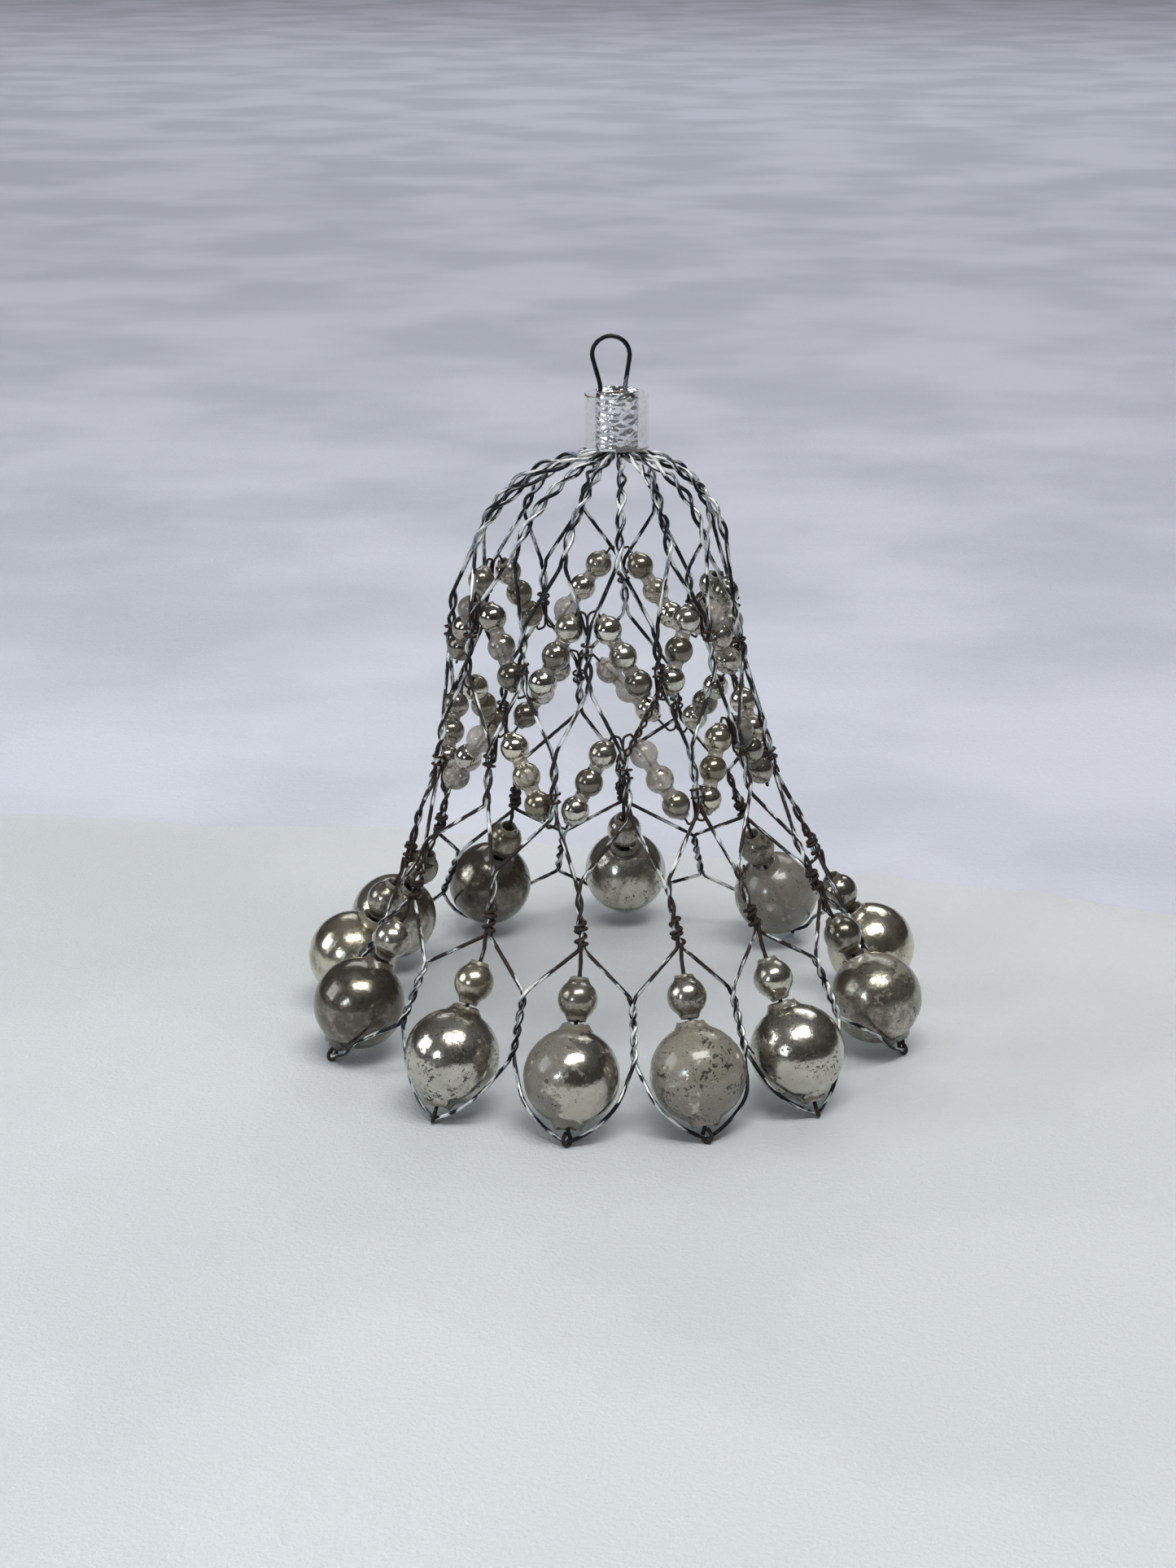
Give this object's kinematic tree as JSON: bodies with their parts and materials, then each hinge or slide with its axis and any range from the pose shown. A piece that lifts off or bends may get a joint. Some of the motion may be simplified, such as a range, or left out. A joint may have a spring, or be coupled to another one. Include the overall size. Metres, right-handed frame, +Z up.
{
  "type": "hanging bell ornament",
  "caption": "Bell-shaped hanging ornament of twisted wire netting, with zigzag rings of small glass bead strands and round glass drops at its hem.",
  "frame": {"origin": "middle of the footprint, on the surface that the twelve hooks stand on", "axes": "+Z up through the hanging loop, -Y towards the front, +X to the right seen from the front"},
  "size_m": [0.1132, 0.1138, 0.127],
  "materials": {
    "net_wire": "worn silver paint flaking off dark steel wire, rusty at its joints",
    "binding_wire": "bare dark steel wire with brown rust",
    "loop_wire": "dark steel wire with worn flecks",
    "foil": "crinkled bright foil",
    "clear_film": "clear brittle film",
    "crown_core": "raw plug, hidden by the foil",
    "glass_silvered": "thin blown glass silvered inside, with dark specks",
    "glass_champagne": "thin blown glass, warm silvering inside",
    "glass_milky": "blown glass whose silvering has turned milky",
    "glass_worn": "blown glass with worn, speckled grey silvering",
    "glass_dark": "blown glass with dark brown-grey silvering"
  },
  "bodies": {
    "root": {"net_dome": "net_wire", "net_waist": "net_wire", "net_hip": "net_wire", "net_skirt": "net_wire", "net_hem": "net_wire", "drop_wires": "binding_wire", "upper_strand_wires": "binding_wire", "lower_strand_wires": "binding_wire", "crown_core": "crown_core", "foil_wrap": "foil", "clear_sleeve": "clear_film", "hanging_loop": "loop_wire"},
    "large_bead_01": {"large_bead_01": "glass_milky"},
    "small_bead_01": {"small_bead_01": "glass_silvered"},
    "large_bead_02": {"large_bead_02": "glass_worn"},
    "small_bead_02": {"small_bead_02": "glass_silvered"},
    "large_bead_03": {"large_bead_03": "glass_silvered"},
    "small_bead_03": {"small_bead_03": "glass_silvered"},
    "large_bead_04": {"large_bead_04": "glass_worn"},
    "small_bead_04": {"small_bead_04": "glass_dark"},
    "large_bead_05": {"large_bead_05": "glass_champagne"},
    "small_bead_05": {"small_bead_05": "glass_dark"},
    "large_bead_06": {"large_bead_06": "glass_milky"},
    "small_bead_06": {"small_bead_06": "glass_milky"},
    "large_bead_07": {"large_bead_07": "glass_silvered"},
    "small_bead_07": {"small_bead_07": "glass_silvered"},
    "large_bead_08": {"large_bead_08": "glass_dark"},
    "small_bead_08": {"small_bead_08": "glass_champagne"},
    "large_bead_09": {"large_bead_09": "glass_silvered"},
    "small_bead_09": {"small_bead_09": "glass_dark"},
    "large_bead_10": {"large_bead_10": "glass_champagne"},
    "small_bead_10": {"small_bead_10": "glass_silvered"},
    "large_bead_11": {"large_bead_11": "glass_dark"},
    "small_bead_11": {"small_bead_11": "glass_silvered"},
    "large_bead_12": {"large_bead_12": "glass_silvered"},
    "small_bead_12": {"small_bead_12": "glass_champagne"},
    "upper_strand_01": {"upper_strand_01": "glass_silvered"},
    "upper_strand_02": {"upper_strand_02": "glass_silvered"},
    "upper_strand_03": {"upper_strand_03": "glass_milky"},
    "upper_strand_04": {"upper_strand_04": "glass_dark"},
    "upper_strand_05": {"upper_strand_05": "glass_silvered"},
    "upper_strand_06": {"upper_strand_06": "glass_champagne"},
    "upper_strand_07": {"upper_strand_07": "glass_milky"},
    "upper_strand_08": {"upper_strand_08": "glass_champagne"},
    "upper_strand_09": {"upper_strand_09": "glass_milky"},
    "upper_strand_10": {"upper_strand_10": "glass_dark"},
    "upper_strand_11": {"upper_strand_11": "glass_dark"},
    "upper_strand_12": {"upper_strand_12": "glass_silvered"},
    "lower_strand_01": {"lower_strand_01": "glass_milky"},
    "lower_strand_02": {"lower_strand_02": "glass_champagne"},
    "lower_strand_03": {"lower_strand_03": "glass_dark"},
    "lower_strand_04": {"lower_strand_04": "glass_champagne"},
    "lower_strand_05": {"lower_strand_05": "glass_silvered"},
    "lower_strand_06": {"lower_strand_06": "glass_milky"},
    "lower_strand_07": {"lower_strand_07": "glass_silvered"},
    "lower_strand_08": {"lower_strand_08": "glass_champagne"},
    "lower_strand_09": {"lower_strand_09": "glass_silvered"},
    "lower_strand_10": {"lower_strand_10": "glass_milky"},
    "lower_strand_11": {"lower_strand_11": "glass_champagne"},
    "lower_strand_12": {"lower_strand_12": "glass_silvered"}
  },
  "joints": [
    {"name": "large_bead_01_spin", "type": "hinge", "parent": "root", "child": "large_bead_01", "pos_m": [-0.00735, -0.04869, 0.01049], "axis": [-0.0775, -0.4896, -0.8685], "continuous": true},
    {"name": "small_bead_01_slide", "type": "slide", "parent": "root", "child": "small_bead_01", "axis": [0.0775, 0.4896, 0.8685], "range_m": [0, 0.0021]},
    {"name": "large_bead_02_spin", "type": "hinge", "parent": "root", "child": "large_bead_02", "pos_m": [0.01383, -0.04739, 0.01049], "axis": [0.1366, -0.4765, -0.8685], "continuous": true},
    {"name": "small_bead_02_slide", "type": "slide", "parent": "root", "child": "small_bead_02", "axis": [-0.1366, 0.4765, 0.8685], "range_m": [0, 0.0021]},
    {"name": "large_bead_03_spin", "type": "hinge", "parent": "root", "child": "large_bead_03", "pos_m": [0.03117, -0.03836, 0.01049], "axis": [0.3119, -0.3852, -0.8685], "continuous": true},
    {"name": "small_bead_03_slide", "type": "slide", "parent": "root", "child": "small_bead_03", "axis": [-0.3119, 0.3852, 0.8685], "range_m": [0, 0.0021]},
    {"name": "large_bead_04_spin", "type": "hinge", "parent": "root", "child": "large_bead_04", "pos_m": [0.04694, -0.01542, 0.01049], "axis": [0.4714, -0.1532, -0.8685], "continuous": true},
    {"name": "small_bead_04_slide", "type": "slide", "parent": "root", "child": "small_bead_04", "axis": [-0.4714, 0.1532, 0.8685], "range_m": [0, 0.0021]},
    {"name": "large_bead_05_spin", "type": "hinge", "parent": "root", "child": "large_bead_05", "pos_m": [0.04844, 0.00909, 0.01049], "axis": [0.4866, 0.0946, -0.8685], "continuous": true},
    {"name": "small_bead_05_slide", "type": "slide", "parent": "root", "child": "small_bead_05", "axis": [-0.4866, -0.0946, 0.8685], "range_m": [0, 0.0021]},
    {"name": "large_bead_06_spin", "type": "hinge", "parent": "root", "child": "large_bead_06", "pos_m": [0.03248, 0.03673, 0.01049], "axis": [0.3252, 0.3741, -0.8685], "continuous": true},
    {"name": "small_bead_06_slide", "type": "slide", "parent": "root", "child": "small_bead_06", "axis": [-0.3252, -0.3741, 0.8685], "range_m": [0, 0.0021]},
    {"name": "large_bead_07_spin", "type": "hinge", "parent": "root", "child": "large_bead_07", "pos_m": [0.00288, 0.04869, 0.01049], "axis": [0.0259, 0.495, -0.8685], "continuous": true},
    {"name": "small_bead_07_slide", "type": "slide", "parent": "root", "child": "small_bead_07", "axis": [-0.0259, -0.495, 0.8685], "range_m": [0, 0.0021]},
    {"name": "large_bead_08_spin", "type": "hinge", "parent": "root", "child": "large_bead_08", "pos_m": [-0.02419, 0.04219, 0.01049], "axis": [-0.2478, 0.4293, -0.8685], "continuous": true},
    {"name": "small_bead_08_slide", "type": "slide", "parent": "root", "child": "small_bead_08", "axis": [0.2478, -0.4293, 0.8685], "range_m": [0, 0.0021]},
    {"name": "large_bead_09_spin", "type": "hinge", "parent": "root", "child": "large_bead_09", "pos_m": [-0.04214, 0.02424, 0.01049], "axis": [-0.4293, 0.2478, -0.8685], "continuous": true},
    {"name": "small_bead_09_slide", "type": "slide", "parent": "root", "child": "small_bead_09", "axis": [0.4293, -0.2478, 0.8685], "range_m": [0, 0.0021]},
    {"name": "large_bead_10_spin", "type": "hinge", "parent": "root", "child": "large_bead_10", "pos_m": [-0.04844, 0.00486, 0.01049], "axis": [-0.493, 0.0518, -0.8685], "continuous": true},
    {"name": "small_bead_10_slide", "type": "slide", "parent": "root", "child": "small_bead_10", "axis": [0.493, -0.0518, 0.8685], "range_m": [0, 0.0021]},
    {"name": "large_bead_11_spin", "type": "hinge", "parent": "root", "child": "large_bead_11", "pos_m": [-0.04545, -0.01784, 0.01049], "axis": [-0.4627, -0.1776, -0.8685], "continuous": true},
    {"name": "small_bead_11_slide", "type": "slide", "parent": "root", "child": "small_bead_11", "axis": [0.4627, 0.1776, 0.8685], "range_m": [0, 0.0021]},
    {"name": "large_bead_12_spin", "type": "hinge", "parent": "root", "child": "large_bead_12", "pos_m": [-0.0278, -0.04042, 0.01049], "axis": [-0.2843, -0.406, -0.8685], "continuous": true},
    {"name": "small_bead_12_slide", "type": "slide", "parent": "root", "child": "small_bead_12", "axis": [0.2843, 0.406, 0.8685], "range_m": [0, 0.0021]},
    {"name": "upper_strand_01_spin", "type": "hinge", "parent": "root", "child": "upper_strand_01", "pos_m": [0.00125, -0.02349, 0.07629], "axis": [0.4879, -0.0274, -0.8725], "continuous": true},
    {"name": "upper_strand_02_spin", "type": "hinge", "parent": "root", "child": "upper_strand_02", "pos_m": [0.01078, -0.01933, 0.07627], "axis": [-0.2504, -0.3562, -0.9002], "continuous": true},
    {"name": "upper_strand_03_spin", "type": "hinge", "parent": "root", "child": "upper_strand_03", "pos_m": [0.01792, -0.01082, 0.07626], "axis": [0.3271, 0.3315, -0.8849], "continuous": true},
    {"name": "upper_strand_04_spin", "type": "hinge", "parent": "root", "child": "upper_strand_04", "pos_m": [0.02036, -0.00071, 0.07625], "axis": [0.1397, -0.4528, -0.8806], "continuous": true},
    {"name": "upper_strand_05_spin", "type": "hinge", "parent": "root", "child": "upper_strand_05", "pos_m": [0.01679, 0.01168, 0.07626], "axis": [-0.1681, 0.5471, -0.82], "continuous": true},
    {"name": "upper_strand_06_spin", "type": "hinge", "parent": "root", "child": "upper_strand_06", "pos_m": [0.0078, 0.02046, 0.07628], "axis": [0.5321, -0.1434, -0.8345], "continuous": true},
    {"name": "upper_strand_07_spin", "type": "hinge", "parent": "root", "child": "upper_strand_07", "pos_m": [-0.00563, 0.02299, 0.07629], "axis": [-0.557, 0.0517, -0.8289], "continuous": true},
    {"name": "upper_strand_08_spin", "type": "hinge", "parent": "root", "child": "upper_strand_08", "pos_m": [-0.01726, 0.0187, 0.07632], "axis": [0.3643, 0.3839, -0.8485], "continuous": true},
    {"name": "upper_strand_09_spin", "type": "hinge", "parent": "root", "child": "upper_strand_09", "pos_m": [-0.02522, 0.00783, 0.07633], "axis": [-0.2702, -0.4985, -0.8237], "continuous": true},
    {"name": "upper_strand_10_spin", "type": "hinge", "parent": "root", "child": "upper_strand_10", "pos_m": [-0.02595, -0.00559, 0.07633], "axis": [-0.2113, 0.5577, -0.8027], "continuous": true},
    {"name": "upper_strand_11_spin", "type": "hinge", "parent": "root", "child": "upper_strand_11", "pos_m": [-0.01935, -0.01755, 0.07633], "axis": [0.3067, -0.4095, -0.8592], "continuous": true},
    {"name": "upper_strand_12_spin", "type": "hinge", "parent": "root", "child": "upper_strand_12", "pos_m": [-0.01005, -0.02298, 0.0763], "axis": [-0.4243, 0.0123, -0.9054], "continuous": true},
    {"name": "lower_strand_01_spin", "type": "hinge", "parent": "root", "child": "lower_strand_01", "pos_m": [0.0076, -0.02624, 0.05542], "axis": [0.5243, -0.0016, -0.8515], "continuous": true},
    {"name": "lower_strand_02_spin", "type": "hinge", "parent": "root", "child": "lower_strand_02", "pos_m": [0.01684, -0.02047, 0.05538], "axis": [-0.1743, -0.4501, -0.8758], "continuous": true},
    {"name": "lower_strand_03_spin", "type": "hinge", "parent": "root", "child": "lower_strand_03", "pos_m": [0.02377, -0.00986, 0.05537], "axis": [0.3731, 0.4044, -0.835], "continuous": true},
    {"name": "lower_strand_04_spin", "type": "hinge", "parent": "root", "child": "lower_strand_04", "pos_m": [0.0249, 0.00333, 0.05538], "axis": [0.2752, -0.5856, -0.7625], "continuous": true},
    {"name": "lower_strand_05_spin", "type": "hinge", "parent": "root", "child": "lower_strand_05", "pos_m": [0.01711, 0.01875, 0.05539], "axis": [-0.3318, 0.5921, -0.7344], "continuous": true},
    {"name": "lower_strand_06_spin", "type": "hinge", "parent": "root", "child": "lower_strand_06", "pos_m": [0.00299, 0.02639, 0.05543], "axis": [0.6904, 0.0235, -0.7231], "continuous": true},
    {"name": "lower_strand_07_spin", "type": "hinge", "parent": "root", "child": "lower_strand_07", "pos_m": [-0.01332, 0.02488, 0.05545], "axis": [-0.5627, -0.0868, -0.8221], "continuous": true},
    {"name": "lower_strand_08_spin", "type": "hinge", "parent": "root", "child": "lower_strand_08", "pos_m": [-0.02391, 0.0166, 0.05549], "axis": [0.2605, 0.5424, -0.7987], "continuous": true},
    {"name": "lower_strand_09_spin", "type": "hinge", "parent": "root", "child": "lower_strand_09", "pos_m": [-0.02922, 0.00063, 0.05549], "axis": [-0.1321, -0.6782, -0.7229], "continuous": true},
    {"name": "lower_strand_10_spin", "type": "hinge", "parent": "root", "child": "lower_strand_10", "pos_m": [-0.0255, -0.01457, 0.05548], "axis": [-0.4233, 0.4536, -0.7843], "continuous": true},
    {"name": "lower_strand_11_spin", "type": "hinge", "parent": "root", "child": "lower_strand_11", "pos_m": [-0.01513, -0.02478, 0.05547], "axis": [0.3815, -0.3689, -0.8475], "continuous": true},
    {"name": "lower_strand_12_spin", "type": "hinge", "parent": "root", "child": "lower_strand_12", "pos_m": [-0.00447, -0.02793, 0.05543], "axis": [-0.4411, -0.1381, -0.8868], "continuous": true}
  ]
}
